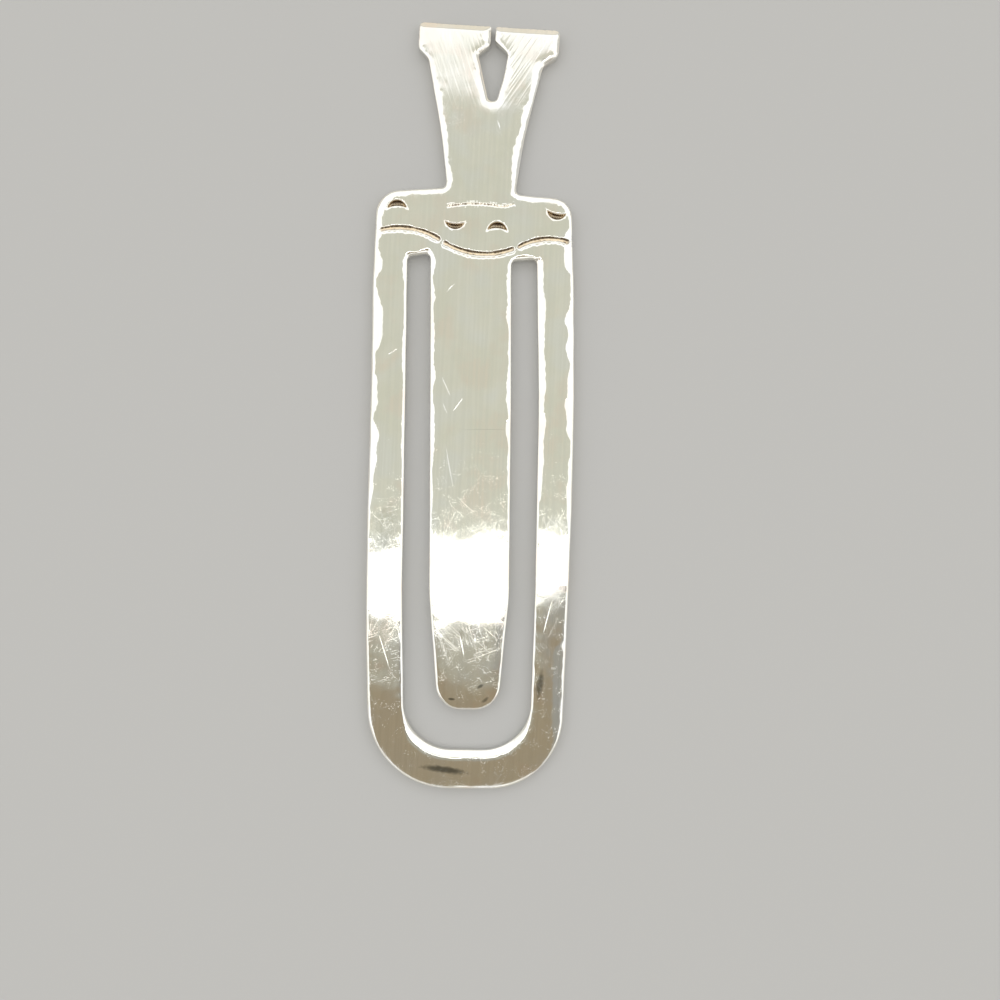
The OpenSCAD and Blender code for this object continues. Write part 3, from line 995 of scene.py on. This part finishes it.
def floor_material():
    material = bpy.data.materials.new("pale_floor")
    material.use_nodes = True
    shader = material.node_tree.nodes["Principled BSDF"]
    shader.inputs["Base Color"].default_value = (0.56, 0.56, 0.56, 1)
    shader.inputs["Roughness"].default_value = 0.75
    shader.inputs["Specular IOR Level"].default_value = 0.2
    return material


# ---------------------------------------------------------------- camera, floor and light

# The camera's place is in millimetres and its turn in degrees. The floor and the light are in metres.
CAMERA_X, CAMERA_Y, CAMERA_OVER_FACE = 2.484, -7.906, 100.6
CAMERA_TURN = 0.73
FLOOR_HALF = 1.5
BAND_X, BAND_Y, BAND_Z = 0.004, -0.0415, 0.4
BAND_SIZE, BAND_POWER = (0.3, 0.034), 0.09
# The room's tones. LEFT and RIGHT are the sides of the photo, and FRONT is towards the bow.
OVERHEAD_GREY = (0.64, 0.64, 0.55, 1)
LOW_GREY_LEFT = (0.42, 0.405, 0.335, 1)
LOW_GREY_RIGHT = (0.33, 0.32, 0.285, 1)
FRONT_TAN = (0.33, 0.275, 0.19, 1)
RING_BRIGHT = (1.22, 1.215, 1.19, 1)
RING_FRONT = (0.45, 0.43, 0.385, 1)
WALL_GREY = (0.64, 0.63, 0.6, 1)
HORIZON_CREAM = (0.86, 0.8, 0.69, 1)


def make_camera():
    """Straight over the sheet, as far as a phone is held from it. The clip leans a little in the frame."""
    data = bpy.data.cameras.new("camera")
    data.sensor_width = 36
    data.lens = 18 / math.tan(math.radians(22.5))
    data.clip_start, data.clip_end = 0.001, 10
    camera = bpy.data.objects.new("camera", data)
    bpy.context.scene.collection.objects.link(camera)
    camera.location = (CAMERA_X * MM, CAMERA_Y * MM, (SHEET_T + CAMERA_OVER_FACE) * MM)
    camera.rotation_euler = (0, 0, math.radians(CAMERA_TURN))
    bpy.context.scene.camera = camera


def make_floor():
    mesh = bpy.data.meshes.new("floor")
    corners = [(x * FLOOR_HALF, y * FLOOR_HALF, 0) for x, y in ((-1, -1), (1, -1), (1, 1), (-1, 1))]
    mesh.from_pydata(corners, [], [(0, 1, 2, 3)])
    floor = bpy.data.objects.new("floor", mesh)
    bpy.context.scene.collection.objects.link(floor)
    floor.data.materials.append(floor_material())


def make_band_light():
    """The long light that the sheet shows as a white band across the tongue and the limbs. It faces down."""
    data = bpy.data.lights.new("band_light", "AREA")
    data.shape = "RECTANGLE"
    data.size, data.size_y = BAND_SIZE
    data.energy = BAND_POWER
    light = bpy.data.objects.new("band_light", data)
    bpy.context.scene.collection.objects.link(light)
    light.location = (BAND_X, BAND_Y, BAND_Z)


def make_world():
    """A studio dome with tones by direction: grey overhead, darker grey and then tan in front, a bright ring
    around them that is dim in front, a grey zone lower down and a creamy horizon."""
    world = bpy.data.worlds.new("studio")
    bpy.context.scene.world = world
    world.use_nodes = True
    world.node_tree.nodes.clear()
    n = Nodes(world.node_tree)
    deg = math.pi / 180
    way = n.add("ShaderNodeTexCoord").outputs["Generated"]
    split = n.add("ShaderNodeSeparateXYZ", {"Vector": way})
    x, y, z = split.outputs["X"], split.outputs["Y"], split.outputs["Z"]
    lean_x = n.math("ARCTAN2", x, n.math("MAXIMUM", z, 0.02))
    lean_y = n.math("ARCTAN2", y, n.math("MAXIMUM", z, 0.02))
    off_zenith = n.math("ARCCOSINE", n.math("MINIMUM", z, 1.0))
    low_grey = n.mix(n.ramp(lean_x, 0.3 * deg, 1.8 * deg), LOW_GREY_LEFT, LOW_GREY_RIGHT)
    color = n.mix(n.ramp(lean_y, -5.2 * deg, -2.5 * deg), low_grey, OVERHEAD_GREY)
    in_front = n.ramp(lean_y, -8.7 * deg, -8.5 * deg, 1.0, 0.0)
    in_front = n.math("MULTIPLY", in_front, n.ramp(lean_x, 8 * deg, 9 * deg, 1.0, 0.0))
    color = n.mix(in_front, color, FRONT_TAN)
    ring = n.mix(n.ramp(y, -0.34, -0.55), RING_BRIGHT, RING_FRONT)
    color = n.mix(n.ramp(off_zenith, 18.3 * deg, 20.3 * deg), color, ring)
    color = n.mix(n.ramp(off_zenith, 55.5 * deg, 58.5 * deg), color, WALL_GREY)
    color = n.mix(n.ramp(off_zenith, 69 * deg, 73 * deg), color, HORIZON_CREAM)
    back = n.add("ShaderNodeBackground", {"Color": color, "Strength": 1.0})
    output = n.add("ShaderNodeOutputWorld")
    n.tree.links.new(back.outputs["Background"], output.inputs["Surface"])


def make_stage():
    make_camera()
    make_floor()
    make_world()
    make_band_light()
    view = bpy.context.scene.view_settings
    view.view_transform = "Standard"
    view.look = "None"


# ---------------------------------------------------------------- pieces


def make_pieces():
    made = sheet_meshes()
    for node in NODES:
        piece = piece_object(node + "_silver", made[node])
        piece.data.materials.append(silver("silver_" + node, filed=node == "finial"))
        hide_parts(node)
        if node in ("tongue", "loop"):
            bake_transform(piece)
        else:
            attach(piece, "head")


make_stage()
make_pieces()
